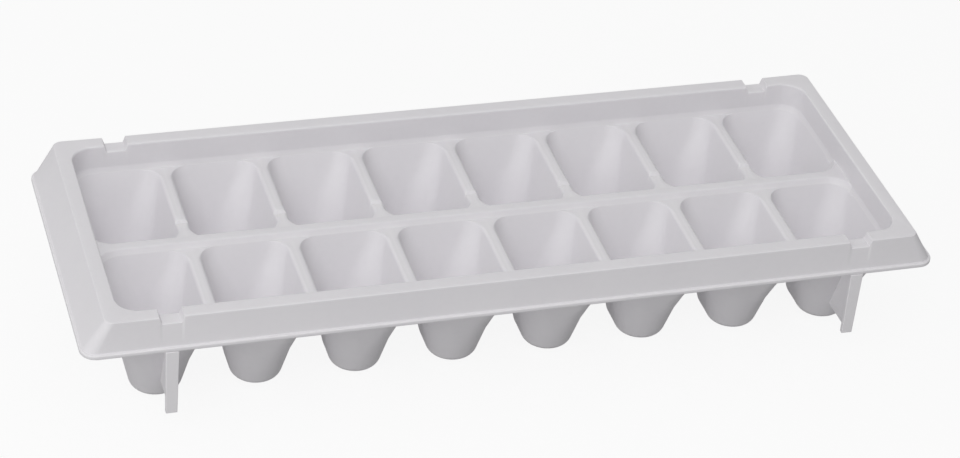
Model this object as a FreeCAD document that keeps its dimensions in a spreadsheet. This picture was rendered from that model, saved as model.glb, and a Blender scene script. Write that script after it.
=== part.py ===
import FreeCAD, Part
import math
import os
import Sketcher

# Ice cube tray with two rows of tapered wells inside a raised rim.
# Frame: origin under the middle of the tray on the surface that it stands on,
# +X along the rows, +Y from the front row to the back row, +Z up. Millimetres.

NODES_FOLDER = "parts"
COLUMNS = 8
ROWS = {"front": -1, "back": 1}
ENDS = {"left": -1, "right": 1}

# Driving sizes: name, value, what it measures
SIZES = [
    ("tray_length", 300.0, "over the lip, left to right"),
    ("tray_width", 110.2, "over the lip, front to back"),
    ("tray_height", 45.5, "from the cup bottoms to the rim's top"),
    ("wall", 1.4, "thickness of the moulded wall"),
    ("rim_rise", 11.6, "rim's top above the lip's upper face"),
    ("deck_depth", 10.7, "rim's top above the deck, which is the top of the dividers"),
    ("lip_ledge", 0.9, "how far the lip stands out from the skirt"),
    ("lip_thickness", 1.7, "height of the lip's edge"),
    ("lip_radius", 5.5, "corner of the lip, in plan"),
    ("skirt_lean_end", 7.1, "how far the skirt leans in at the ends"),
    ("skirt_lean_side", 0.4, "how far the skirt leans in at the long sides"),
    ("rim_radius", 3.0, "outer corner of the rim's top, in plan"),
    ("rim_round", 0.8, "rounding of the rim's top edges"),
    ("land_end", 5.0, "width of the rim's top at the ends"),
    ("land_side", 5.6, "width of the rim's top at the long sides"),
    ("opening_draft", 0.2, "how far the rim's inner wall leans in on its way down to the rib's level"),
    ("shoulder_draft", 0.6, "how far it leans in from there down to the deck"),
    ("mouth_radius", 8.0, "corner of each well's mouth and of the rim's opening"),
    ("ridge_width", 4.8, "top of the divider between two wells"),
    ("rib_base", 5.6, "foot of the rib between the two rows"),
    ("rib_top", 3.6, "top of that rib"),
    ("rib_rise", 2.1, "that rib's top above the deck"),
    ("rib_round", 0.8, "rounding of that rib's top edges"),
    ("floor_length", 14.6, "inside of a well's floor, along the rows"),
    ("floor_width", 21.6, "inside of a well's floor, across the rows"),
    ("floor_flat", 0.7, "half of the straight part of the floor's short side"),
    ("floor_round", 2.6, "rounding between a well's floor and its walls"),
    ("notch_floor", 6.4, "bottom width of a stacking notch"),
    ("notch_mouth", 8.4, "top width of a stacking notch"),
    ("notch_depth", 2.5, "depth of a stacking notch"),
    ("notch_inset", 0.8, "notch centre inboard of the end wells' centre"),
    ("leg_top", 4.5, "width of a stacking leg at the lip"),
    ("leg_tip", 3.9, "width of a stacking leg at its lower end"),
    ("leg_plate", 1.6, "thickness of a stacking leg's outer strip"),
    ("leg_web", 1.8, "thickness of the web behind that strip"),
    ("leg_clear", 7.0, "height of the strip's lower end above the surface"),
    ("leg_hook", 2.0, "how far the strip hangs below its web"),
    ("spill_width", 2.6, "width of the levelling notch in a divider"),
    ("spill_depth", 1.4, "depth of the levelling notch in a divider"),
    ("spill_setback", 10.7, "levelling notch centre from the front of its well's mouth"),
]


class Size:
    """A length as a number, with the sheet expression that gives it."""

    def __init__(self, value, text):
        self.value = float(value)
        self.text = text

    def __add__(self, other):
        other = as_size(other)
        return Size(self.value + other.value, f"({self.text} + {other.text})")

    def __sub__(self, other):
        other = as_size(other)
        return Size(self.value - other.value, f"({self.text} - {other.text})")

    def __mul__(self, other):
        other = as_size(other)
        return Size(self.value * other.value, f"({self.text} * {other.text})")

    def __truediv__(self, other):
        other = as_size(other)
        return Size(self.value / other.value, f"({self.text} / {other.text})")

    def __neg__(self):
        return Size(-self.value, f"(-1 * {self.text})")


def as_size(number):
    """Wraps a plain number, so that it can stand in a sum with sizes."""
    return number if isinstance(number, Size) else Size(number, str(number))


doc = FreeCAD.newDocument("ice_cube_tray")
sheet = doc.addObject("Spreadsheet::Sheet", "sizes")
size = {}
for row, (alias, value, note) in enumerate(SIZES, start=1):
    sheet.set(f"A{row}", note)
    sheet.set(f"B{row}", str(value))
    sheet.setAlias(f"B{row}", alias)
    size[alias] = Size(value, f"sizes.{alias}")
doc.recompute()

# Heights above the surface that the tray stands on
TOP = size["tray_height"]
DECK = TOP - size["deck_depth"]
RIB_TOP = DECK + size["rib_rise"]
LIP_TOP = TOP - size["rim_rise"]
LIP_UNDERSIDE = LIP_TOP - size["lip_thickness"]
LAND_UNDERSIDE = TOP - size["wall"]

# Half sizes of the rim, in plan
LIP_X = size["tray_length"] / 2
LIP_Y = size["tray_width"] / 2
SKIRT_X = LIP_X - size["lip_ledge"]
SKIRT_Y = LIP_Y - size["lip_ledge"]
SKIRT_RADIUS = size["lip_radius"] - size["lip_ledge"]
RIM_X = SKIRT_X - size["skirt_lean_end"]
RIM_Y = SKIRT_Y - size["skirt_lean_side"]
OPENING_X = RIM_X - size["land_end"]
OPENING_Y = RIM_Y - size["land_side"]
SHOULDER_X = OPENING_X - size["opening_draft"]
SHOULDER_Y = OPENING_Y - size["opening_draft"]
DECK_X = SHOULDER_X - size["shoulder_draft"]
DECK_Y = SHOULDER_Y - size["shoulder_draft"]

# Half sizes and spacing of the wells
MOUTH_X = (DECK_X * 2 - size["ridge_width"] * (COLUMNS - 1)) / (2 * COLUMNS)
MOUTH_Y = (DECK_Y - size["rib_base"] / 2) / 2
FLOOR_X = size["floor_length"] / 2
FLOOR_Y = size["floor_width"] / 2
FLOOR_RADIUS = FLOOR_X - size["floor_flat"]
PITCH = MOUTH_X * 2 + size["ridge_width"]
ROW_Y = size["rib_base"] / 2 + MOUTH_Y
END_WELL_X = PITCH * ((COLUMNS - 1) / 2)
NOTCH_X = END_WELL_X - size["notch_inset"]
CORE_RADIUS = size["mouth_radius"] + size["wall"]


def origin_plane(body, role):
    """The body's own origin plane of that role."""
    return next(item for item in body.Origin.OriginFeatures if item.Role == role)


def new_body(name):
    """An empty body whose label names its file."""
    body = doc.addObject("PartDesign::Body", name)
    body.Label = name
    return body


def new_sketch(body, name, role, height=None):
    """A sketch on one of the body's origin planes, moved along its normal."""
    sketch = body.newObject("Sketcher::SketchObject", f"{body.Name}_{name}")
    sketch.AttachmentSupport = [(origin_plane(body, role), "")]
    sketch.MapMode = "FlatFace"
    if height is not None:
        sketch.AttachmentOffset = FreeCAD.Placement(FreeCAD.Vector(0, 0, height.value), FreeCAD.Rotation())
        sketch.setExpression("AttachmentOffset.Base.z", height.text)
    return sketch


def bind_constraint(sketch, constraint, name, length):
    """Adds a driving constraint and binds it to the sheet."""
    index = sketch.addConstraint(constraint)
    sketch.renameConstraint(index, name)
    sketch.setExpression(f"Constraints.{name}", length.text)


def rounded_rectangle(sketch, half_x, half_y, radius):
    """A rectangle round the sketch's origin with four equal round corners."""
    centre_x = half_x - radius
    centre_y = half_y - radius
    arcs = []
    for quarter, (side_x, side_y) in enumerate(((1, 1), (-1, 1), (-1, -1), (1, -1))):
        centre = FreeCAD.Vector(side_x * centre_x.value, side_y * centre_y.value, 0)
        circle = Part.Circle(centre, FreeCAD.Vector(0, 0, 1), radius.value)
        start = quarter * math.pi / 2
        arcs.append(sketch.addGeometry(Part.ArcOfCircle(circle, start, start + math.pi / 2), False))
    for quarter, arc in enumerate(arcs):
        following = arcs[(quarter + 1) % len(arcs)]
        ends = (sketch.getPoint(arc, 2), sketch.getPoint(following, 1))
        line = sketch.addGeometry(Part.LineSegment(*ends), False)
        sketch.addConstraint(Sketcher.Constraint("Tangent", arc, 2, line, 1))
        sketch.addConstraint(Sketcher.Constraint("Tangent", line, 2, following, 1))
        level = "Horizontal" if quarter % 2 == 0 else "Vertical"
        sketch.addConstraint(Sketcher.Constraint(level, line))
    for arc in arcs[1:]:
        sketch.addConstraint(Sketcher.Constraint("Equal", arcs[0], arc))
    sketch.addConstraint(Sketcher.Constraint("Symmetric", arcs[0], 3, arcs[2], 3, -1, 1))
    bind_constraint(sketch, Sketcher.Constraint("Radius", arcs[0], radius.value), "corner", radius)
    across = Sketcher.Constraint("DistanceX", -1, 1, arcs[0], 3, centre_x.value)
    bind_constraint(sketch, across, "centre_x", centre_x)
    along = Sketcher.Constraint("DistanceY", -1, 1, arcs[0], 3, centre_y.value)
    bind_constraint(sketch, along, "centre_y", centre_y)


def polygon(sketch, prefix, corners):
    """A closed outline through corners, each tied to the origin by two sizes."""
    points = [FreeCAD.Vector(u.value, v.value, 0) for u, v in corners]
    lines = []
    for index, point in enumerate(points):
        following = points[(index + 1) % len(points)]
        lines.append(sketch.addGeometry(Part.LineSegment(point, following), False))
    for index, line in enumerate(lines):
        following = lines[(index + 1) % len(lines)]
        sketch.addConstraint(Sketcher.Constraint("Coincident", line, 2, following, 1))
    for index, (u, v) in enumerate(corners):
        across = Sketcher.Constraint("DistanceX", -1, 1, lines[index], 1, u.value)
        bind_constraint(sketch, across, f"{prefix}_{index}_u", u)
        along = Sketcher.Constraint("DistanceY", -1, 1, lines[index], 1, v.value)
        bind_constraint(sketch, along, f"{prefix}_{index}_v", v)


def section(body, name, height, half_x, half_y, radius):
    """A rounded rectangle at one height of the body."""
    sketch = new_sketch(body, name, "XY_Plane", height)
    rounded_rectangle(sketch, half_x, half_y, radius)
    return sketch


def loft(body, kind, name, lowest, *others):
    """A straight loft up through sections, added to the body or cut from it."""
    feature = body.newObject(f"PartDesign::{kind}", f"{body.Name}_{name}")
    feature.Profile = lowest
    feature.Sections = list(others)
    feature.Ruled = True
    return feature


def pad(body, name, sketch, length, centred=False):
    """A pad along the sketch's normal, or half to each side of it."""
    feature = body.newObject("PartDesign::Pad", f"{body.Name}_{name}")
    feature.Profile = sketch
    feature.Length = length.value
    feature.setExpression("Length", length.text)
    feature.Midplane = centred
    return feature


def pocket(body, name, sketch, length, centred=True, backwards=False):
    """A cut through the sketch, checked to have taken something away."""
    before = body.Shape.Volume
    feature = body.newObject("PartDesign::Pocket", f"{body.Name}_{name}")
    feature.Profile = sketch
    feature.Length = length.value
    feature.setExpression("Length", length.text)
    feature.Midplane = centred
    feature.Reversed = backwards
    doc.recompute()
    if body.Shape.Volume >= before:
        raise RuntimeError(f"{feature.Name} cuts nothing")
    return feature


def edges_where(shape, test):
    """Names of the shape's edges that pass a test."""
    return [f"Edge{index}" for index, edge in enumerate(shape.Edges, start=1) if test(edge)]


def at_height(height):
    """A test for edges that lie flat at one height."""
    def test(edge):
        return abs(edge.BoundBox.ZMin - height) < 1e-4 and abs(edge.BoundBox.ZMax - height) < 1e-4
    return test


def fillet(body, name, base, test, radius):
    """Rounds the base feature's edges that pass a test."""
    doc.recompute()
    names = edges_where(base.Shape, test)
    if not names:
        raise RuntimeError(f"{body.Name} has no edge to round for {name}")
    feature = body.newObject("PartDesign::Fillet", f"{body.Name}_{name}")
    feature.Base = (base, names)
    feature.Radius = radius.value
    feature.setExpression("Radius", radius.text)
    doc.recompute()
    return feature


def place(body, x, y, turn=0):
    """Sets the body's place in the tray from sizes, turned about +Z."""
    body.Placement = FreeCAD.Placement(
        FreeCAD.Vector(x.value, y.value, 0), FreeCAD.Rotation(FreeCAD.Vector(0, 0, 1), turn))
    body.setExpression("Placement.Base.x", x.text)
    body.setExpression("Placement.Base.y", y.text)


# Rim: skirt, lip, flat top, inner wall and the four stacking notches
def make_rim():
    """The raised rim as a bent wall, open underneath."""
    body = new_body("rim_frame")
    wall = size["wall"]
    foot = section(body, "skirt_foot", LIP_TOP, SKIRT_X, SKIRT_Y, SKIRT_RADIUS)
    head = section(body, "skirt_head", TOP, RIM_X, RIM_Y, size["rim_radius"])
    loft(body, "AdditiveLoft", "skirt", foot, head)
    edge = section(body, "lip_edge", LIP_UNDERSIDE, LIP_X, LIP_Y, size["lip_radius"])
    lip = pad(body, "lip", edge, size["lip_thickness"])
    fillet(body, "rim_outer_round", lip, at_height(TOP.value), size["rim_round"])

    # The hollow runs from the lip's underside to one wall below the rim's top
    hollow_foot = section(body, "hollow_foot", LIP_UNDERSIDE, SKIRT_X - wall, SKIRT_Y - wall, SKIRT_RADIUS - wall)
    hollow_head = section(body, "hollow_head", LAND_UNDERSIDE, RIM_X - wall, RIM_Y - wall,
                          size["rim_radius"] - wall)
    loft(body, "SubtractiveLoft", "hollow", hollow_foot, hollow_head)
    core_foot = section(body, "core_foot", DECK, DECK_X + wall, DECK_Y + wall, CORE_RADIUS)
    core_shoulder = section(body, "core_shoulder", RIB_TOP, SHOULDER_X + wall, SHOULDER_Y + wall, CORE_RADIUS)
    core_head = section(body, "core_head", LAND_UNDERSIDE, OPENING_X + wall, OPENING_Y + wall, CORE_RADIUS)
    loft(body, "AdditiveLoft", "core", core_foot, core_shoulder, core_head)

    # Solid blocks under the notches carry their floors
    block_half = size["notch_mouth"] / 2 + wall
    blocks = new_sketch(body, "notch_blocks", "XZ_Plane")
    for name, side in ENDS.items():
        left = NOTCH_X * side - block_half
        right = NOTCH_X * side + block_half
        low = TOP - size["notch_depth"] - wall
        polygon(blocks, f"block_{name}", [(left, low), (right, low), (right, LAND_UNDERSIDE), (left, LAND_UNDERSIDE)])
    pad(body, "notch_floors", blocks, (RIM_Y - wall / 2) * 2, centred=True)

    opening_foot = section(body, "opening_foot", DECK, DECK_X, DECK_Y, size["mouth_radius"])
    opening_shoulder = section(body, "opening_shoulder", RIB_TOP, SHOULDER_X, SHOULDER_Y, size["mouth_radius"])
    opening_head = section(body, "opening_head", TOP, OPENING_X, OPENING_Y, size["mouth_radius"])
    opening = loft(body, "SubtractiveLoft", "opening", opening_foot, opening_shoulder, opening_head)
    limit = OPENING_X.value + 0.1

    def inner_top_edge(edge):
        return at_height(TOP.value)(edge) and edge.BoundBox.XMax < limit and edge.BoundBox.XMin > -limit

    fillet(body, "rim_inner_round", opening, inner_top_edge, size["rim_round"])
    notches = new_sketch(body, "notches", "XZ_Plane")
    for name, side in ENDS.items():
        centre = NOTCH_X * side
        floor = TOP - size["notch_depth"]
        corners = [
            (centre - size["notch_floor"] / 2, floor),
            (centre + size["notch_floor"] / 2, floor),
            (centre + size["notch_mouth"] / 2, TOP),
            (centre - size["notch_mouth"] / 2, TOP),
        ]
        polygon(notches, f"notch_{name}", corners)
    pocket(body, "stacking_notches", notches, size["tray_width"])
    return body


# Wells: one tapered cup each, with its share of the deck around the mouth
def make_well(row, column):
    """A thin cup and the deck from its mouth to the middle of each divider."""
    number = column + 1
    body = new_body(f"well_{row}_{number}")
    wall = size["wall"]
    facing = ROWS[row]
    divider = MOUTH_X + size["ridge_width"] / 2
    left = MOUTH_X + wall if column == 0 else divider
    right = MOUTH_X + wall if column == COLUMNS - 1 else divider
    to_rib = MOUTH_Y + size["rib_base"] / 2
    to_rim = MOUTH_Y + wall
    front, back = (to_rim, to_rib) if facing < 0 else (to_rib, to_rim)

    plate = new_sketch(body, "deck", "XY_Plane", DECK - wall)
    polygon(plate, "deck", [(-left, -front), (right, -front), (right, back), (-left, back)])
    deck = pad(body, "deck_plate", plate, wall)
    if column in (0, COLUMNS - 1):
        corner_x = -left.value if column == 0 else right.value
        corner_y = facing * to_rim.value

        def outer_corner(edge):
            box = edge.BoundBox
            return (box.ZLength > wall.value / 2 and abs(box.XMin - corner_x) < 1e-4
                    and abs(box.YMin - corner_y) < 1e-4)

        deck = fillet(body, "deck_corner", deck, outer_corner, CORE_RADIUS)

    # Levelling notches cross only the dividers beside this well, and the deck dips under them
    at_end = column in (0, COLUMNS - 1)
    reach = divider if at_end else divider * 2

    def spill_outline(name, height):
        middle = size["spill_setback"] - MOUTH_Y
        half = size["spill_width"] / 2
        sketch = new_sketch(body, name, "YZ_Plane")
        low = height - size["spill_depth"]
        polygon(sketch, name, [(middle - half, height), (middle, low), (middle + half, height)])
        return sketch

    dip = pad(body, "deck_dip", spill_outline("dip", DECK - wall), reach, centred=not at_end)
    dip.Reversed = column == COLUMNS - 1

    base = section(body, "cup_base", Size(0, "0"), FLOOR_X + wall, FLOOR_Y + wall, FLOOR_RADIUS + wall)
    brim = section(body, "cup_brim", DECK, MOUTH_X + wall, MOUTH_Y + wall, CORE_RADIUS)
    cup = loft(body, "AdditiveLoft", "cup", base, brim)
    fillet(body, "base_round", cup, at_height(0.0), size["floor_round"] + wall)
    floor = section(body, "well_floor", wall, FLOOR_X, FLOOR_Y, FLOOR_RADIUS)
    mouth = section(body, "well_mouth", DECK, MOUTH_X, MOUTH_Y, size["mouth_radius"])
    hollow = loft(body, "SubtractiveLoft", "hollow", floor, mouth)
    fillet(body, "floor_round", hollow, at_height(wall.value), size["floor_round"])
    pocket(body, "levelling_notch", spill_outline("notch", DECK), reach, centred=not at_end, backwards=column == 0)
    place(body, PITCH * (column - (COLUMNS - 1) / 2), ROW_Y * facing)
    return body


# Rib between the two rows
def make_rib():
    """The raised rib that stands on the deck between the rows, with its ends on the rim's inner wall."""
    body = new_body("centre_rib")
    profile = new_sketch(body, "profile", "YZ_Plane")
    corners = [
        (-size["rib_base"] / 2, DECK),
        (size["rib_base"] / 2, DECK),
        (size["rib_top"] / 2, RIB_TOP),
        (-size["rib_top"] / 2, RIB_TOP),
    ]
    polygon(profile, "rib", corners)
    spare = SHOULDER_X + size["wall"]
    bar = pad(body, "bar", profile, spare * 2, centred=True)

    def long_top_edge(edge):
        return at_height(RIB_TOP.value)(edge) and edge.BoundBox.XLength > DECK_X.value

    fillet(body, "rib_top_round", bar, long_top_edge, size["rib_round"])
    ends = new_sketch(body, "ends", "XZ_Plane")
    for name, side in ENDS.items():
        corners = [
            (DECK_X * side, DECK),
            (SHOULDER_X * side, RIB_TOP),
            (spare * side, RIB_TOP),
            (spare * side, DECK),
        ]
        polygon(ends, f"end_{name}", corners)
    pocket(body, "leaning_ends", ends, size["rib_base"] * 2)
    return body


# Stacking legs: a strip under the lip with a web back to the end cup
def make_leg(row, end):
    """A leg of the front row, turned half round for the back row."""
    body = new_body(f"leg_{row}_{end}")
    strip = new_sketch(body, "strip", "XZ_Plane", LIP_Y)
    tip = size["leg_clear"]
    corners = [
        (-size["leg_tip"] / 2, tip),
        (size["leg_tip"] / 2, tip),
        (size["leg_top"] / 2, LIP_UNDERSIDE),
        (-size["leg_top"] / 2, LIP_UNDERSIDE),
    ]
    polygon(strip, "strip", corners)
    plate = pad(body, "strip_plate", strip, size["leg_plate"])
    plate.Reversed = True

    # The cup's outer face leans in a straight line, so its place at a height is a share of that lean
    wall = size["wall"]
    web_foot = tip + size["leg_hook"]
    lean = (MOUTH_Y - FLOOR_Y) / DECK

    def cup_face(height):
        return -(ROW_Y + FLOOR_Y + wall + lean * height)

    inner = size["leg_plate"] - LIP_Y
    web = new_sketch(body, "web", "YZ_Plane")
    corners = [
        (inner, web_foot),
        (cup_face(web_foot), web_foot),
        (cup_face(LIP_UNDERSIDE), LIP_UNDERSIDE),
        (inner, LIP_UNDERSIDE),
    ]
    polygon(web, "web", corners)
    pad(body, "web_plate", web, size["leg_web"], centred=True)
    turned = ROWS[row] > 0
    place(body, NOTCH_X * ENDS[end], Size(0, "0"), 180 if turned else 0)
    return body


bodies = [make_rim(), make_rib()]
for row in ROWS:
    for column in range(COLUMNS):
        bodies.append(make_well(row, column))
for row in ROWS:
    for end in ENDS:
        bodies.append(make_leg(row, end))

doc.recompute()
for item in doc.Objects:
    if {"Invalid", "Error"} & set(item.State):
        raise RuntimeError(f"{item.Name} failed: {item.State}")
for body in bodies:
    if body.Shape.isNull() or not body.Shape.isValid() or len(body.Shape.Solids) != 1:
        raise RuntimeError(f"{body.Label} isn't one valid solid")

os.makedirs(NODES_FOLDER, exist_ok=True)
for body in bodies:
    body.Shape.exportStep(f"{NODES_FOLDER}/{body.Label}.step")
    box = body.Shape.BoundBox
    print(f"{body.Label:16s} {body.Shape.Volume / 1000:8.3f} cm3  "
          f"x {box.XMin:8.2f} {box.XMax:8.2f}  y {box.YMin:7.2f} {box.YMax:7.2f}  z {box.ZMin:6.2f} {box.ZMax:6.2f}")
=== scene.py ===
import math

import bmesh
import bpy
from mathutils import Matrix, Vector


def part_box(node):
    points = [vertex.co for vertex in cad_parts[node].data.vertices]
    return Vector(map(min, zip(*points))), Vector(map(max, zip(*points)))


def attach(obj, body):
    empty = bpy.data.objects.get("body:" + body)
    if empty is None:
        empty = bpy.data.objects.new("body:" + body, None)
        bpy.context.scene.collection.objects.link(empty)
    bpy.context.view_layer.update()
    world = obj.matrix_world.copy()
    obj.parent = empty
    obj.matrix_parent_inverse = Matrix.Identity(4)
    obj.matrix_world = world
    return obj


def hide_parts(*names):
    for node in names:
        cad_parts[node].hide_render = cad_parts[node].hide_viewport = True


bl_info = {
    "name": "Ice Cube Tray",
    "version": (1, 0, 0),
    "blender": (4, 5, 0),
    "location": "View3D > Sidebar > Ice Tray",
    "description": "Moulds an ice cube tray over its packed frame and sets it in a pale studio",
    "category": "Object",
}

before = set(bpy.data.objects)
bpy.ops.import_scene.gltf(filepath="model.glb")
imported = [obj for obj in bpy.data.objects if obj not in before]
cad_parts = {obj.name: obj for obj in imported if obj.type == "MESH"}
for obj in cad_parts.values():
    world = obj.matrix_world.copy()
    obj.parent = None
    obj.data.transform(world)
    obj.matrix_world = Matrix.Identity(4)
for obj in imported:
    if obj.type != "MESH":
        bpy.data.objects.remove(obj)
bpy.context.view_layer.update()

# Places read from the frame
RIM_LOW, RIM_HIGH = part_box("rim_frame")
RIB_LOW, RIB_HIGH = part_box("centre_rib")
LEG_LOW, LEG_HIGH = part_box("leg_front_left")
END_CELL_LOW, END_CELL_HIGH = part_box("well_front_1")
CELL_LOW, CELL_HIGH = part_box("well_front_2")
TOP = RIM_HIGH.z
DECK = RIB_LOW.z
SHOULDER = RIB_HIGH.z
LIP_UNDERSIDE = RIM_LOW.z
LIP_X = RIM_HIGH.x
LIP_Y = RIM_HIGH.y
RIB_HALF_BASE = RIB_HIGH.y
PITCH = CELL_HIGH.x - CELL_LOW.x
LEG_X = (LEG_LOW.x + LEG_HIGH.x) / 2

COLUMNS = 8
ROWS = {"front": -1, "back": 1}
ENDS = {"left": -1, "right": 1}
QUARTER = math.pi / 2
# Attribute that holds where convex edges are painted lighter: painted edge highlight, partly handling wear
WEAR_AND_HIGHLIGHT = "handled"
WHITE = (1, 1, 1, 1)

# Least rounding, at a seam between two pieces, and how far the floor lies below the tray
SEAM = 0.0001
# Angle between faces from which an edge counts as one
SHARP_ANGLE = math.radians(40)
# Bend at which the painted edge highlight and handling wear begin, and over which they grow to the full
WEAR_AND_HIGHLIGHT_START = 0.3
WEAR_AND_HIGHLIGHT_SPAN = 0.5
# Where a stacking notch begins to press the rim's section down, as a share of the way from deck to rim top
NOTCH_ROOT = 0.3


def length(name, description, default):
    """A property that holds a length in metres."""
    return bpy.props.FloatProperty(
        name=name, description=description, default=default, min=0, precision=5,
        unit="LENGTH", subtype="DISTANCE")


def share(name, description, default):
    """A property that holds a share from 0 to 1."""
    return bpy.props.FloatProperty(
        name=name, description=description, default=default, min=0, max=1, subtype="FACTOR")


def tint(name, description, default):
    """A property that holds a colour."""
    return bpy.props.FloatVectorProperty(
        name=name, description=description, default=default, size=3, min=0, max=1, subtype="COLOR")


def spot(name, description, default):
    """A property that holds a place in metres."""
    return bpy.props.FloatVectorProperty(
        name=name, description=description, default=default, size=3, subtype="TRANSLATION", unit="LENGTH")


def bearing(name, description, degrees):
    """A property that holds an angle."""
    return bpy.props.FloatProperty(
        name=name, description=description, default=math.radians(degrees), unit="ROTATION")


def power(name, description, default):
    """A property that holds a lamp's power in watts."""
    return bpy.props.FloatProperty(name=name, description=description, default=default, min=0, unit="POWER")


class TraySizes(bpy.types.PropertyGroup):
    """Sizes of the moulding that the frame's boxes don't give."""

    wall: length("Wall", "Thickness of the moulded wall", 0.0014)
    lip_ledge: length("Lip ledge", "How far the lip stands out from the skirt", 0.0009)
    lip_height: length("Lip height", "Height of the lip's outer face", 0.0017)
    lip_radius: length("Lip corner", "Corner of the lip, in plan", 0.0055)
    lip_round: length("Lip rounding", "Rounding of the lip's edges", 0.0005)
    skirt_lean_end: length("Skirt lean, ends", "How far the skirt leans in at the ends", 0.0071)
    skirt_lean_side: length("Skirt lean, sides", "How far the skirt leans in at the long sides", 0.0004)
    rim_radius: length("Rim corner", "Outer corner of the rim's top, in plan", 0.003)
    rim_round: length("Rim rounding", "Rounding of the rim's outer top edge", 0.0005)
    opening_round: length("Opening rounding", "Rounding of the rim's inner top edge", 0.0008)
    land_end: length("Rim top, ends", "Width of the rim's top at the ends", 0.005)
    land_side: length("Rim top, sides", "Width of the rim's top at the long sides", 0.0056)
    opening_draft: length("Opening draft", "Lean of the rim's inner wall, down to the rib's top", 0.0002)
    shoulder_draft: length("Crease draft", "Its lean from there down to the deck", 0.0006)
    crease_round: length("Crease rounding", "Rounding where the two leans meet", 0.002)
    notch_floor: length("Notch floor", "Bottom width of a stacking notch", 0.0064)
    notch_mouth: length("Notch mouth", "Top width of a stacking notch", 0.0084)
    notch_depth: length("Notch depth", "Depth of a stacking notch", 0.0025)
    land_round: length("Land rounding", "Rounding of a well's mouth by the rim and the rib", 0.0004)
    mouth_radius: length("Opening corner", "Corner of the rim's opening, in plan", 0.008)
    well_radius: length("Mouth corner", "Corner of a well's mouth by a divider, in plan", 0.0065)
    ridge_trim: length("Divider trim", "How much slimmer a divider is on each side than its solid", 0.0004)
    ridge_round: length("Divider rounding", "Rounding from a divider into its wells", 0.0014)
    shoulder: length("Shoulder", "Depth over which a well's corners grow round", 0.022)
    roundness: share("Roundness", "Corner of a well below its shoulder, as a share of its half length", 1.0)
    floor_x: length("Floor half length", "Half of a well's floor along the rows", 0.0070)
    floor_y: length("Floor half width", "Half of a well's floor across the rows", 0.0108)
    floor_round: length("Floor rounding", "Rounding between a well's floor and its walls", 0.0026)
    spill_width: length("Levelling notch width", "Width of the levelling notch in a divider", 0.0022)
    spill_depth: length("Levelling notch depth", "Depth of the levelling notch in a divider", 0.0011)
    spill_setback: length("Levelling notch place", "From the front of its well's mouth", 0.0107)
    rib_top: length("Rib top", "Half of the top of the rib between the rows", 0.0018)
    rib_round: length("Rib rounding", "Rounding of the rib's top edges", 0.0008)
    leg_tip: length("Leg tip", "Half width of a leg at its lower end", 0.00195)
    leg_plate: length("Leg strip", "Thickness of a leg's outer strip", 0.0016)
    leg_web: length("Leg web", "Half thickness of the web behind the strip", 0.0009)
    leg_hook: length("Leg hook", "How far the strip hangs below its web", 0.002)
    leg_round: length("Leg rounding", "Rounding of a leg's edges", 0.00025)


class TrayFinish(bpy.types.PropertyGroup):
    """The plastic's colour and surface."""

    colour: tint("Colour", "Main colour of the plastic", (0.757, 0.742, 0.766))
    shade: tint("Shade", "Colour of its faint darker clouds", (0.722, 0.708, 0.734))
    # Lighter paint on convex edges: a painted edge highlight, partly handling wear
    wear_and_highlight_colour: tint("Rubbed", "Colour of edges that handling has polished", (0.796, 0.784, 0.802))
    roughness: share("Roughness", "Roughness of the satin surface", 0.38)
    roughness_spread: share("Roughness spread", "How much the roughness wanders", 0.10)
    grain: length("Grain", "Size of the mould's fine texture", 0.0007)
    grain_height: length("Grain height", "Height of that texture", 0.000012)
    waviness: length("Waviness", "Height of the slow waves that cooling leaves", 0.00003)


class TrayStudio(bpy.types.PropertyGroup):
    """Camera and lamps."""

    camera_place: spot("Camera", "Place of the camera", (-0.26633, -0.76462, 0.58839))
    azimuth: bearing("Azimuth", "Camera's turn from +Y towards +X", 19.84)
    elevation: bearing("Elevation", "How far the camera looks down", 34.67)
    roll: bearing("Roll", "Camera's turn about its own view", 5.64)
    focal_pixels: bpy.props.FloatProperty(
        name="Focal length", description="In pixels of the picture", default=2798.3, min=1)
    centre_x: bpy.props.FloatProperty(
        name="Centre X", description="Pixel column that the camera looks at", default=506.2)
    centre_y: bpy.props.FloatProperty(
        name="Centre Y", description="Pixel row that the camera looks at", default=231.3)
    sky: share("Sky", "Strength of the even light from all round", 0.48)
    key: power("Key", "Power of the large lamp above", 4)
    key_place: spot("Key place", "Place of the large lamp", (-0.82, -0.82, 1.38))
    key_width: length("Key width", "Width of the large lamp", 1.6)
    fill: power("Fill", "Power of the soft lamp that reaches into the wells", 13)
    fill_place: spot("Fill place", "Place of that lamp", (-0.99, -0.99, 1.18))
    fill_width: length("Fill width", "Width of that lamp", 1.0)
    floor_lit: share("Floor, lit", "Grey of the floor for the light that it throws back", 0.50)
    floor_seen: share("Floor, seen", "Grey of the floor for the camera", 0.92)
    floor_veil: share("Floor veil", "How far the floor is lifted towards white", 0.86)


# Meshes from sections
class Station:
    """One place round a rounded rectangle: where it lies along the sides and which way is out."""

    def __init__(self, along_x, along_y, out_x, out_y, fixed_x=None):
        self.along_x = along_x
        self.along_y = along_y
        self.out_x = out_x
        self.out_y = out_y
        self.fixed_x = fixed_x

    def at(self, half_x, half_y, radius, height):
        """Its point on a rounded rectangle of these half sizes."""
        x = self.along_x * (half_x - radius) + self.out_x * radius
        y = self.along_y * (half_y - radius) + self.out_y * radius
        return Vector((x if self.fixed_x is None else self.fixed_x, y, height))


def corner_stations(side_x, side_y, steps):
    """Stations round one corner, in the sense that keeps the loop turning left."""
    start = {(1, 1): 0, (-1, 1): 1, (-1, -1): 2, (1, -1): 3}[(side_x, side_y)]
    stations = []
    for step in range(steps + 1):
        angle = (start + step / steps) * QUARTER
        stations.append(Station(side_x, side_y, math.cos(angle), math.sin(angle)))
    return stations


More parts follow.
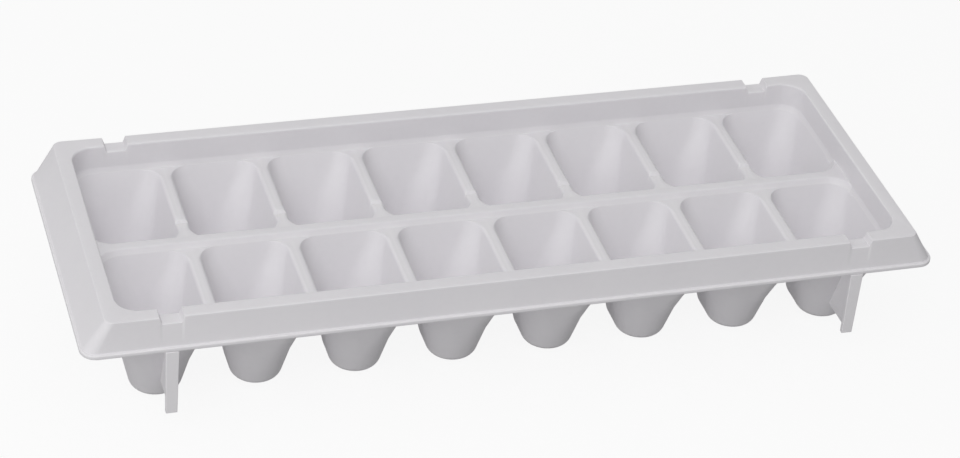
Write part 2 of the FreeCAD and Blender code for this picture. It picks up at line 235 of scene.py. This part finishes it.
def loop_stations(x_side, y_side, steps):
    """Stations all round, turning left. x_side and y_side give the places between corners, rising."""
    loop = [Station(1, place, 1, 0) for place in y_side]
    loop += corner_stations(1, 1, steps)
    loop += [x_side(place, 1) for place in reversed(x_side.places)]
    loop += corner_stations(-1, 1, steps)
    loop += [Station(-1, place, -1, 0) for place in reversed(y_side)]
    loop += corner_stations(-1, -1, steps)
    loop += [x_side(place, -1) for place in x_side.places]
    loop += corner_stations(1, -1, steps)
    return loop


class SharedSide:
    """Places along a long side given as shares of its straight part."""

    def __init__(self, places):
        self.places = places

    def __call__(self, place, side):
        return Station(place, side, 0, side)


class FixedSide:
    """Places along a long side given as distances, the same at every height."""

    def __init__(self, places):
        self.places = places

    def __call__(self, place, side):
        return Station(0, side, 0, side, fixed_x=place)


def evenly(count, low=-1.0, high=1.0):
    """Places between low and high, without either end."""
    return [low + (high - low) * (index + 1) / (count + 1) for index in range(count)]


def rounded_path(corners, closed=False):
    """A path through corners, each (point, radius, steps), with the round ones as arcs."""
    path = []
    count = len(corners)
    for index, (point, radius, steps) in enumerate(corners):
        at_end = not closed and index in (0, count - 1)
        if radius == 0 or at_end:
            path.append(point.copy())
            continue
        towards_last = (corners[index - 1][0] - point).normalized()
        towards_next = (corners[(index + 1) % count][0] - point).normalized()
        half_angle = towards_last.angle(towards_next) / 2
        reach = radius / math.tan(half_angle)
        centre = point + (towards_last + towards_next).normalized() * (radius / math.sin(half_angle))
        first = point + towards_last * reach - centre
        last = point + towards_next * reach - centre
        for step in range(steps + 1):
            path.append(centre + first.slerp(last, step / steps) * radius)
    return path


def loft(name, paths, closed_path=False, closed_loop=True):
    """A mesh object through paths with equally many points, with its open ends capped."""
    rows = len(paths)
    points = len(paths[0])
    vertices = [point for path in paths for point in path]
    faces = []
    for row in range(rows if closed_loop else rows - 1):
        this = row * points
        following = (row + 1) % rows * points
        for index in range(points if closed_path else points - 1):
            step = (index + 1) % points
            faces.append((this + index, following + index, following + step, this + step))
    if not closed_path:
        for index in (0, points - 1):
            faces.append([row * points + index for row in range(rows)])
    if not closed_loop:
        for row in (0, rows - 1):
            faces.append([row * points + index for index in range(points)])
    mesh = bpy.data.meshes.new(name)
    mesh.from_pydata(vertices, [], faces)
    return finish_mesh(name, mesh)


def finish_mesh(name, mesh):
    """Turns all faces outward, smooths what isn't an edge and puts the mesh in the scene."""
    work = bmesh.new()
    work.from_mesh(mesh)
    bmesh.ops.recalc_face_normals(work, faces=work.faces)
    work.to_mesh(mesh)
    # Share of lighter paint per point: painted edge highlight on convex edges, partly handling wear
    handled = mesh.attributes.new(WEAR_AND_HIGHLIGHT, "FLOAT", "POINT")
    handled.data.foreach_set("value", [wear_and_highlight_share(vertex) for vertex in work.verts])
    work.free()
    mesh.shade_smooth()
    mesh.set_sharp_from_angle(angle=SHARP_ANGLE)
    piece = bpy.data.objects.new(name, mesh)
    bpy.context.scene.collection.objects.link(piece)
    return piece


def wear_and_highlight_share(vertex):
    """How much painted edge highlight and handling wear a point of the mesh gets: none on flats and in hollows,
    full on rounded edges.
    """
    bend = sum(edge.calc_face_angle_signed(0.0) for edge in vertex.link_edges)
    return ease((bend - WEAR_AND_HIGHLIGHT_START) / WEAR_AND_HIGHLIGHT_SPAN)


def settle(piece, node):
    """Gives a piece its plastic and its place in the frame."""
    piece.data.materials.append(tray_plastic())
    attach(piece, "root")
    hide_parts(node)


def blend(low, high, part):
    """The value a share of the way from low to high."""
    return low + (high - low) * part


def ease(part):
    """A share that starts and ends gently."""
    part = min(max(part, 0.0), 1.0)
    return part * part * (3 - 2 * part)


def deck_reach(sizes):
    """Half the deck's length: the end cups stand one wall beyond it."""
    return -END_CELL_LOW.x - sizes.wall


def mouth_reach(sizes):
    """Half of a well's mouth across the rows, between the rib and the rim."""
    return (-CELL_LOW.y - sizes.wall - RIB_HALF_BASE) / 2


# Rim
def notch_dip(sizes, x):
    """How far the rim's top drops at x for the stacking notches."""
    edge = sizes.notch_mouth / 2
    floor = sizes.notch_floor / 2
    part = min(max((edge - abs(abs(x) - abs(LEG_X))) / (edge - floor), 0.0), 1.0)
    return sizes.notch_depth * (part + ease(part)) / 2


def rim_side_places(sizes):
    """Places along the rim's long sides, close together at the notches' corners."""
    edge = sizes.notch_mouth / 2
    floor = sizes.notch_floor / 2
    steps = 8
    between = 18
    offsets = [0, floor / 2] + [blend(floor, edge, step / steps) for step in range(-1, steps + 2)]
    half = sorted({abs(LEG_X) + side * offset for offset in offsets for side in ENDS.values()})
    middle = evenly(between, -half[0], half[0])
    return [-place for place in reversed(half)] + middle + half


def grown(outline, amount):
    """A rounded rectangle moved outward all round, its half sizes and its corner alike."""
    return tuple(value + amount for value in outline)


def rim_path(sizes, station):
    """The rim's section at one station, as a closed path."""
    wall = sizes.wall
    lip_top = LIP_UNDERSIDE + sizes.lip_height
    lip = (LIP_X, LIP_Y, sizes.lip_radius)
    skirt = grown(lip, -sizes.lip_ledge)
    rim = (skirt[0] - sizes.skirt_lean_end, skirt[1] - sizes.skirt_lean_side, sizes.rim_radius)
    opening = (rim[0] - sizes.land_end, rim[1] - sizes.land_side, sizes.mouth_radius)
    crease = (opening[0] - sizes.opening_draft, opening[1] - sizes.opening_draft, sizes.mouth_radius)
    foot = (crease[0] - sizes.shoulder_draft, crease[1] - sizes.shoulder_draft, sizes.mouth_radius)
    ceiling = TOP - wall
    soft = wall / 3
    corners = [
        (station.at(*grown(skirt, -wall), LIP_UNDERSIDE), 0, 0),
        (station.at(*lip, LIP_UNDERSIDE), sizes.lip_round, 4),
        (station.at(*lip, lip_top), sizes.lip_round, 4),
        (station.at(*skirt, lip_top), soft, 3),
        (station.at(*rim, TOP), sizes.rim_round, 6),
        (station.at(*opening, TOP), sizes.opening_round, 6),
        (station.at(*crease, SHOULDER), sizes.crease_round, 4),
        (station.at(*foot, DECK), 0, 0),
        (station.at(*grown(foot, wall), DECK), 0, 0),
        (station.at(*grown(crease, wall), SHOULDER), sizes.crease_round, 2),
        (station.at(*grown(opening, wall), ceiling), soft, 3),
        (station.at(*grown(rim, -wall), ceiling), soft, 3),
    ]
    path = rounded_path(corners, closed=True)
    if station.fixed_x is not None:
        root = blend(DECK, TOP, NOTCH_ROOT)
        squeeze = 1 - notch_dip(sizes, station.fixed_x) / (TOP - root)
        for point in path:
            if point.z > root:
                point.z = root + (point.z - root) * squeeze
    return path


class ICE_TRAY_OT_rim(bpy.types.Operator):
    """Mould the rim: lip, skirt, flat top, inner wall and stacking notches"""

    bl_idname = "ice_tray.rim"
    bl_label = "Mould the rim"

    def execute(self, context):
        sizes = context.scene.tray_sizes
        end_steps = 9
        corner_steps = 10
        stations = loop_stations(FixedSide(rim_side_places(sizes)), evenly(end_steps), corner_steps)
        piece = loft("rim_moulding", [rim_path(sizes, station) for station in stations], closed_path=True)
        settle(piece, "rim_frame")
        return {"FINISHED"}


# Wells
class Well:
    """One well's own sizes, with its middle at the origin of X and Y."""

    # Steps round a corner in plan, round the floor's edge and over the mouth's edge
    CORNER_STEPS = 12
    FLOOR_STEPS = 7
    EDGE_STEPS = 6
    # Depths between floor and mouth at which the walls have a section, as shares of the whole depth
    DROPS = (0.62, 0.42, 0.28, 0.19, 0.13, 0.08)
    # Size of the floor's innermost face, as a share of the floor
    HUB = 0.35
    # How much of the room beside a corner its rounding may take, and the turn below which the room is not split
    ROOM_SHARE = 0.62
    LEAST_TURN = 0.05
    # Part of a corner's turn over which a divider's rounding fades to the land's
    FADE = 0.5
    # How blunt the levelling notch's bottom is
    BLUNTNESS = 0.15

    def __init__(self, sizes, row, column):
        self.sizes = sizes
        self.side = ROWS[row]
        self.mouth_y = mouth_reach(sizes)
        # The sides on which the rim stands instead of a divider
        self.open_ends = {side for side, end in ((-1, 0), (1, COLUMNS - 1)) if column == end}
        self.slide = -sum(self.open_ends) * sizes.ridge_trim / 2
        self.mouth_x = END_CELL_HIGH.x - END_CELL_LOW.x - sizes.wall - PITCH / 2
        self.mouth_x += sizes.ridge_trim - abs(self.slide)
        self.x = PITCH * (column - (COLUMNS - 1) / 2) + self.slide
        self.y = self.side * (RIB_HALF_BASE + self.mouth_y)
        self.spill_y = sizes.spill_setback - self.mouth_y
        self.depth = DECK - sizes.wall

    def section(self, drop, station, offset=0.0):
        """Half sizes and corner of the well's inside at a drop below the deck, grown by an offset."""
        part = drop / self.depth
        half_x = blend(self.mouth_x, self.sizes.floor_x, part)
        half_y = blend(self.mouth_y, self.sizes.floor_y, part)
        rounder = ease((drop - self.sizes.spill_depth) / self.sizes.shoulder)
        corner = half_x * blend(self.mouth_corner(station) / self.mouth_x, self.sizes.roundness, rounder)
        return half_x + offset, half_y + offset, corner + offset

    def mouth_corner(self, station):
        """The mouth's corner in plan: the rim's own at a rim end, tighter by a divider."""
        left, right = (self.sizes.mouth_radius if side in self.open_ends else self.sizes.well_radius
                       for side in (-1, 1))
        return blend(left, right, (station.along_x + 1) / 2)

    def border(self, station, height):
        """The station's point on the outline of this well's share of the deck."""
        wall = self.sizes.wall
        at_open_end = station.along_x in self.open_ends
        edge_x = self.mouth_x + wall if at_open_end else PITCH / 2 - self.slide * station.along_x
        rim_side = station.along_y * self.side > 0 and abs(station.along_y) == 1
        reach_y = self.mouth_y + (wall if rim_side else RIB_HALF_BASE)
        half_x, half_y, radius = self.section(0, station)
        start = station.at(half_x, half_y, radius, height)
        if abs(station.along_x) < 1:
            return Vector((start.x, station.along_y * reach_y, height))
        if abs(station.along_y) < 1:
            return Vector((station.along_x * edge_x, start.y, height))
        centre = Vector((station.along_x * (half_x - radius), station.along_y * (half_y - radius), height))
        if rim_side and station.along_x in self.open_ends:
            return centre + Vector((station.out_x, station.out_y, 0)) * (radius + wall)
        room_x = edge_x - abs(centre.x)
        room_y = reach_y - abs(centre.y)
        lean = abs(math.atan2(abs(station.out_y), abs(station.out_x)) - math.atan2(room_y, room_x))
        if lean < QUARTER / (2 * self.CORNER_STEPS):
            return centre + Vector((station.along_x * room_x, station.along_y * room_y, 0))
        tiny = 1e-9
        reach = min(room_x / max(abs(station.out_x), tiny), room_y / max(abs(station.out_y), tiny))
        return centre + Vector((station.out_x, station.out_y, 0)) * reach

    def edge_round(self, station):
        """Rounding of the mouth's edge: full along a divider, and fading out towards the rim and the rib."""
        across = abs(station.out_y)
        if station.along_x in self.open_ends and (abs(station.along_y) < 1 or across == 1):
            return SEAM
        room = self.mouth_corner(station) * (1 - across) / max(across, self.LEAST_TURN)
        wanted = blend(self.sizes.ridge_round, self.sizes.land_round, ease(across / self.FADE))
        return max(min(wanted, room * self.ROOM_SHARE), SEAM)

    def spill_drop(self, station, y):
        """How far the levelling notch lowers the deck here."""
        if abs(station.along_x) < 1 or station.along_x in self.open_ends:
            return 0.0
        part = math.hypot((y - self.spill_y) / (self.sizes.spill_width / 2), self.BLUNTNESS)
        return self.sizes.spill_depth * max(0.0, 1.0 - part) / (1.0 - self.BLUNTNESS)

    def path(self, station):
        """The section at one station, from the floor up over the deck and down the outside."""
        sizes = self.sizes
        wall = sizes.wall
        drops = [self.depth * part for part in self.DROPS]
        floor = station.at(*self.section(self.depth, station), wall)
        hub = Vector((floor.x * self.HUB, floor.y * self.HUB, wall))
        inside = [(hub, 0, 0), (floor, sizes.floor_round, self.FLOOR_STEPS)]
        inside += [(station.at(*self.section(drop, station), DECK - drop), 0, 0) for drop in drops]
        mouth = station.at(*self.section(0, station), DECK)
        inside += [(mouth, self.edge_round(station), self.EDGE_STEPS), (self.border(station, DECK), 0, 0)]
        top = rounded_path(inside)
        for point in top:
            point.z = min(point.z, DECK - self.spill_drop(station, point.y))

        under = DECK - wall
        brim = station.at(*self.section(wall, station, wall), under)
        base = station.at(*self.section(self.depth, station, wall), 0)
        low_hub = Vector((base.x * self.HUB, base.y * self.HUB, 0))
        outside = [(self.border(station, under), 0, 0), (brim, wall / 4, 3)]
        for drop in reversed(drops):
            height = DECK - drop * DECK / self.depth
            outside.append((station.at(*self.section(drop, station, wall), height), 0, 0))
        outside += [(base, sizes.floor_round + wall, self.FLOOR_STEPS), (low_hub, 0, 0)]
        bottom = rounded_path(outside)
        for point in bottom[:2]:
            point.z = min(point.z, under - self.spill_drop(station, point.y))
        shift = Vector((self.x, self.y, 0))
        return [point + shift for point in top + bottom]


def well_side_places(sizes, well):
    """Places along a well's sides, close together at the levelling notch, as shares of the straight part."""
    steps = 4
    beyond = 9
    straight = well.mouth_y - sizes.well_radius
    half = sizes.spill_width / 2
    notch = [(well.spill_y + half * step / steps) / straight for step in range(-steps, steps + 1)]
    return sorted(notch + evenly(beyond, max(notch), 1.0))


class ICE_TRAY_OT_wells(bpy.types.Operator):
    """Mould the sixteen wells, each with its share of the deck and of its dividers"""

    bl_idname = "ice_tray.wells"
    bl_label = "Mould the wells"

    def execute(self, context):
        sizes = context.scene.tray_sizes
        side = SharedSide(evenly(5))
        for row in ROWS:
            for column in range(COLUMNS):
                well = Well(sizes, row, column)
                stations = loop_stations(side, well_side_places(sizes, well), Well.CORNER_STEPS)
                number = column + 1
                piece = loft(f"{row}_cup_{number}", [well.path(station) for station in stations])
                settle(piece, f"well_{row}_{number}")
        return {"FINISHED"}


# Rib
def rib_places(sizes):
    """Places along the rib, each with how much wider it is there: its ends flare into the end wells."""
    steps = 10
    between = 7
    # The flare stops a little short of its full turn and runs out into the rim's wall
    last_turn = QUARTER * 0.88
    run_out = 0.06
    flare = sizes.mouth_radius
    reach = deck_reach(sizes)
    end = []
    for step in range(steps + 1):
        turn = last_turn * step / steps
        end.append((reach - flare * (1 - math.sin(turn)), flare * (1 - math.cos(turn))))
    end.append((reach, end[-1][1] + flare * run_out))
    middle = [(place, 0.0) for place in evenly(between, -end[0][0], end[0][0])]
    return [(-place, wider) for place, wider in reversed(end)] + middle + end


class ICE_TRAY_OT_rib(bpy.types.Operator):
    """Mould the raised rib between the two rows"""

    bl_idname = "ice_tray.rib"
    bl_label = "Mould the rib"

    def execute(self, context):
        sizes = context.scene.tray_sizes
        lean = sizes.shoulder_draft / (SHOULDER - DECK) / deck_reach(sizes)
        paths = []
        for place, wider in rib_places(sizes):
            base = RIB_HALF_BASE + wider
            top = sizes.rib_top + wider
            outline = [(-base, DECK, 0), (base, DECK, 0), (top, SHOULDER, sizes.rib_round),
                       (-top, SHOULDER, sizes.rib_round)]
            path = rounded_path([(Vector((place, y, z)), radius, 6) for y, z, radius in outline], closed=True)
            for point in path:
                point.x += place * (point.z - DECK) * lean
            paths.append(path)
        piece = loft("row_rib", paths, closed_path=True, closed_loop=False)
        settle(piece, "centre_rib")
        return {"FINISHED"}


# Legs
def leg_mesh(sizes, name):
    """A leg of the front row: a tapered strip, and a web that runs back to the end cup."""
    tip = LEG_LOW.z
    front = LEG_LOW.y
    inner = front + sizes.leg_plate
    web_foot = tip + sizes.leg_hook
    top_half = (LEG_HIGH.x - LEG_LOW.x) / 2
    mouth_y = mouth_reach(sizes)

    def strip_half(height):
        """Half the strip's width, which tapers towards the tip."""
        return blend(sizes.leg_tip, top_half, (height - tip) / (LIP_UNDERSIDE - tip))

    def cup_face(height):
        """Where the outside of the end cup lies, behind the web."""
        return -(RIB_HALF_BASE + mouth_y + blend(sizes.floor_y, mouth_y, height / DECK) + sizes.wall)

    def ring(height, back):
        """Outline of strip and web at one height."""
        half = strip_half(height)
        web = sizes.leg_web
        return [(-half, front, height), (half, front, height), (half, inner, height), (web, inner, height),
                (web, back, height), (-web, back, height), (-web, inner, height), (-half, inner, height)]

    sink = sizes.wall / 4
    low = ring(web_foot, cup_face(web_foot) + sink)
    high = ring(LIP_UNDERSIDE, cup_face(LIP_UNDERSIDE) + sink)
    half = strip_half(tip)
    foot = [(-half, front, tip), (half, front, tip), (half, inner, tip), (-half, inner, tip)]
    vertices = foot + low + high
    faces = [(0, 1, 2, 3), (0, 4, 5, 1), (1, 5, 6, 2), (3, 11, 4, 0), (2, 6, 7, 10, 11, 3), (7, 8, 9, 10)]
    faces += [(4 + index, 4 + (index + 1) % 8, 12 + (index + 1) % 8, 12 + index) for index in range(8)]
    faces.append(tuple(range(12, 20)))
    mesh = bpy.data.meshes.new(name)
    mesh.from_pydata([Vector(vertex) for vertex in vertices], [], faces)
    return mesh


class ICE_TRAY_OT_legs(bpy.types.Operator):
    """Mould the four stacking legs"""

    bl_idname = "ice_tray.legs"
    bl_label = "Mould the legs"

    def execute(self, context):
        sizes = context.scene.tray_sizes
        for row, facing in ROWS.items():
            for end, side in ENDS.items():
                name = f"{row}_{end}_leg"
                mesh = leg_mesh(sizes, name)
                if facing > 0:
                    mesh.transform(Matrix.Rotation(math.pi, 4, "Z"))
                mesh.transform(Matrix.Translation((abs(LEG_X) * side, 0, 0)))
                piece = finish_mesh(name, mesh)
                edges = piece.modifiers.new("soft edges", "BEVEL")
                edges.width = sizes.leg_round
                edges.segments = 3
                edges.limit_method = "ANGLE"
                edges.angle_limit = SHARP_ANGLE
                settle(piece, f"leg_{row}_{end}")
        return {"FINISHED"}


# Material
class Wire:
    """A node's output that takes part in sums, so that shader maths reads as maths."""

    def __init__(self, shader, socket):
        self.shader = shader
        self.socket = socket

    def maths(self, operation, first, second):
        """One sum on two values or wires."""
        return self.shader.node("ShaderNodeMath", {"operation": operation}, {0: first, 1: second})

    def __add__(self, other):
        return self.maths("ADD", self, other)

    def __radd__(self, other):
        return self.maths("ADD", other, self)

    def __sub__(self, other):
        return self.maths("SUBTRACT", self, other)

    def __rsub__(self, other):
        return self.maths("SUBTRACT", other, self)

    def __mul__(self, other):
        return self.maths("MULTIPLY", self, other)

    def __rmul__(self, other):
        return self.maths("MULTIPLY", other, self)


class Shader:
    """A material's or world's node tree, with one method that makes any node."""

    def __init__(self, owner):
        owner.use_nodes = True
        self.tree = owner.node_tree
        self.tree.nodes.clear()

    def node(self, kind, settings=None, inputs=None, output=0):
        """Makes a node, sets it up, fills its sockets with values or wires and returns one output."""
        made = self.tree.nodes.new(kind)
        for name, value in (settings or {}).items():
            if name == "stops":
                self.set_ramp(made.color_ramp, value)
            else:
                setattr(made, name, value)
        for name, value in (inputs or {}).items():
            if isinstance(value, Wire):
                self.tree.links.new(value.socket, made.inputs[name])
            else:
                made.inputs[name].default_value = value
        return Wire(self, made.outputs[output]) if made.outputs else None

    @staticmethod
    def set_ramp(ramp, stops):
        """Puts a ramp's stops, each (place, value)."""
        while len(ramp.elements) < len(stops):
            ramp.elements.new(1.0)
        for element, (place, value) in zip(ramp.elements, stops):
            element.position = place
            element.color = (value, value, value, 1.0)

    def mix(self, factor, first, second):
        """A mix of two colours; sockets 6 and 7 and output 2 are the node's colour ones."""
        return self.node("ShaderNodeMix", {"data_type": "RGBA"}, {0: factor, 6: first, 7: second}, output=2)


def tray_plastic():
    """Pale satin plastic: faint clouds, fine mould texture, slow waves and convex edges painted a little
    lighter, as painted edge highlight and handling wear.
    """
    name = "satin_tray_plastic"
    if name in bpy.data.materials:
        return bpy.data.materials[name]
    finish = bpy.context.scene.tray_finish
    cloud_size, speck_size, wave_size = 0.03, 0.0022, 0.012
    cloud_share, speck_share = 0.55, 0.25
    wear_and_highlight_all_over, wear_and_highlight_in_clouds = 0.3, 0.6
    material = bpy.data.materials.new(name)
    shader = Shader(material)
    place = shader.node("ShaderNodeTexCoord", output="Object")

    def noise(size, detail, **extra):
        """Noise with features of a size in metres."""
        inputs = {"Vector": place, "Scale": 1 / size, "Detail": detail, **extra}
        return shader.node("ShaderNodeTexNoise", inputs=inputs)

    def bump(height, distance, **extra):
        """The normal over a height field."""
        inputs = {"Strength": 1.0, "Distance": distance, "Height": height, **extra}
        return shader.node("ShaderNodeBump", inputs=inputs)

    clouds = noise(cloud_size, 4.0, Roughness=0.55)
    specks = noise(speck_size, 3.0)
    cloud_mask = shader.node("ShaderNodeValToRGB", {"stops": [(0.35, 0.0), (0.68, 1.0)]}, {0: clouds})
    speck_mask = shader.node("ShaderNodeValToRGB", {"stops": [(0.45, 0.0), (0.75, 1.0)]}, {0: specks})
    darker = cloud_mask * cloud_share + speck_mask * speck_share
    cloudy = shader.mix(darker, (*finish.colour, 1), (*finish.shade, 1))
    # Convex edges painted lighter: painted edge highlight, partly handling wear, broken up by the clouds
    edges = shader.node("ShaderNodeAttribute", {"attribute_name": WEAR_AND_HIGHLIGHT}, output="Fac")
    body = shader.mix(edges * (clouds * wear_and_highlight_in_clouds + wear_and_highlight_all_over), cloudy, (*finish.wear_and_highlight_colour, 1))
    slow = bump(noise(wave_size, 2.0), finish.waviness)
    fine = bump(noise(finish.grain, 2.0), finish.grain_height, Normal=slow)
    roughness = (clouds + specks - 1.0) * finish.roughness_spread + finish.roughness
    plastic = shader.node("ShaderNodeBsdfPrincipled", inputs={
        "Base Color": body, "Roughness": roughness, "Normal": fine, "IOR": 1.49, "Specular IOR Level": 0.5})
    shader.node("ShaderNodeOutputMaterial", inputs={"Surface": plastic})
    return material


# Studio
def studio_floor(studio):
    """A wide pale floor whose shadow is lifted towards white for the camera alone."""
    reach = 6.0
    mesh = bpy.data.meshes.new("studio_floor")
    corners = [(-reach, -reach, 0), (reach, -reach, 0), (reach, reach, 0), (-reach, reach, 0)]
    mesh.from_pydata(corners, [], [(0, 1, 2, 3)])
    floor = bpy.data.objects.new("studio_floor", mesh)
    floor.location.z = -SEAM
    bpy.context.scene.collection.objects.link(floor)
    paper = bpy.data.materials.new("studio_paper")
    shader = Shader(paper)
    seen = shader.node("ShaderNodeLightPath", output="Is Camera Ray")
    grey = shader.mix(seen, (*[studio.floor_lit] * 3, 1), (*[studio.floor_seen] * 3, 1))
    pale = shader.node("ShaderNodeBsdfDiffuse", inputs={"Color": grey})
    white = shader.node("ShaderNodeEmission", inputs={"Color": WHITE, "Strength": 1.0})
    mixed = shader.node("ShaderNodeMixShader", inputs={0: seen * studio.floor_veil, 1: pale, 2: white})
    shader.node("ShaderNodeOutputMaterial", inputs={"Surface": mixed})
    mesh.materials.append(paper)


def studio_sky(studio):
    """An even sky that is white where it is seen, mirrored or looked at through something.

    A ray may count as glossy and transmitted at once: the mix shader takes a sum over 1 as 1.
    """
    world = bpy.data.worlds.new("studio_sky")
    bpy.context.scene.world = world
    shader = Shader(world)
    camera, glossy, transmitted = (shader.node("ShaderNodeLightPath", output=f"Is {kind} Ray")
                                   for kind in ("Camera", "Glossy", "Transmission"))
    light = shader.node("ShaderNodeBackground", inputs={"Color": WHITE, "Strength": studio.sky})
    white = shader.node("ShaderNodeBackground", inputs={"Color": WHITE, "Strength": 1.0})
    mixed = shader.node("ShaderNodeMixShader", inputs={0: camera + glossy + transmitted, 1: light, 2: white})
    shader.node("ShaderNodeOutputWorld", inputs={"Surface": mixed})


def studio_lamp(name, place, width, watts, shadow=True):
    """A square soft lamp that looks at the tray. Without shadow it is a fill that shows in no reflection."""
    lamp = bpy.data.lights.new(name, "AREA")
    lamp.shape = "SQUARE"
    lamp.size = width
    lamp.energy = watts
    lamp.use_shadow = shadow
    holder = bpy.data.objects.new(name, lamp)
    holder.location = place
    holder.visible_glossy = shadow
    holder.rotation_euler = (Vector((0, 0, DECK)) - Vector(place)).to_track_quat("-Z", "Y").to_euler()
    bpy.context.scene.collection.objects.link(holder)


def studio_camera(studio):
    """The camera, from the angles at which the picture was taken."""
    picture_width = 960
    picture_height = 458
    data = bpy.data.cameras.new("camera")
    data.sensor_width = 36  # millimetres
    data.lens = studio.focal_pixels / picture_width * data.sensor_width
    data.shift_x = (picture_width / 2 - studio.centre_x) / picture_width
    data.shift_y = (studio.centre_y - picture_height / 2) / picture_width
    data.clip_start = 0.01
    camera = bpy.data.objects.new("camera", data)
    turn = Matrix.Rotation(-studio.azimuth, 3, "Z") @ Matrix.Rotation(QUARTER - studio.elevation, 3, "X")
    turn = turn @ Matrix.Rotation(studio.roll, 3, "Z")
    camera.matrix_world = Matrix.Translation(studio.camera_place) @ turn.to_4x4()
    bpy.context.scene.collection.objects.link(camera)
    bpy.context.scene.camera = camera


class ICE_TRAY_OT_studio(bpy.types.Operator):
    """Set the floor, the sky, the lamps and the camera"""

    bl_idname = "ice_tray.studio"
    bl_label = "Set the studio"

    def execute(self, context):
        studio = context.scene.tray_studio
        context.scene.view_settings.view_transform = "Standard"
        studio_floor(studio)
        studio_sky(studio)
        studio_lamp("key_lamp", studio.key_place, studio.key_width, studio.key)
        studio_lamp("fill_lamp", studio.fill_place, studio.fill_width, studio.fill, shadow=False)
        studio_camera(studio)
        return {"FINISHED"}


class ICE_TRAY_PT_panel(bpy.types.Panel):
    """Lists the tray's pieces, sizes and finish"""

    bl_idname = "ICE_TRAY_PT_panel"
    bl_label = "Ice Cube Tray"
    bl_space_type = "VIEW_3D"
    bl_region_type = "UI"
    bl_category = "Ice Tray"

    def draw(self, context):
        for operator in OPERATORS:
            self.layout.operator(operator.bl_idname)
        for group in GROUPS:
            box = self.layout.box()
            settings = getattr(context.scene, group)
            for name in settings.bl_rna.properties.keys():
                if name not in ("rna_type", "name"):
                    box.prop(settings, name)


OPERATORS = (ICE_TRAY_OT_studio, ICE_TRAY_OT_rim, ICE_TRAY_OT_rib, ICE_TRAY_OT_wells, ICE_TRAY_OT_legs)
GROUPS = {"tray_sizes": TraySizes, "tray_finish": TrayFinish, "tray_studio": TrayStudio}
CLASSES = (*GROUPS.values(), *OPERATORS, ICE_TRAY_PT_panel)


def register():
    """Makes the classes and the scene's settings known."""
    for item in CLASSES:
        bpy.utils.register_class(item)
    for name, group in GROUPS.items():
        setattr(bpy.types.Scene, name, bpy.props.PointerProperty(type=group))


def unregister():
    """Takes them away again."""
    for name in GROUPS:
        delattr(bpy.types.Scene, name)
    for item in reversed(CLASSES):
        bpy.utils.unregister_class(item)


def main():
    """Builds the tray and its studio."""
    register()
    bpy.ops.ice_tray.studio()
    bpy.ops.ice_tray.rim()
    bpy.ops.ice_tray.rib()
    bpy.ops.ice_tray.wells()
    bpy.ops.ice_tray.legs()


if __name__ == "__main__":
    main()
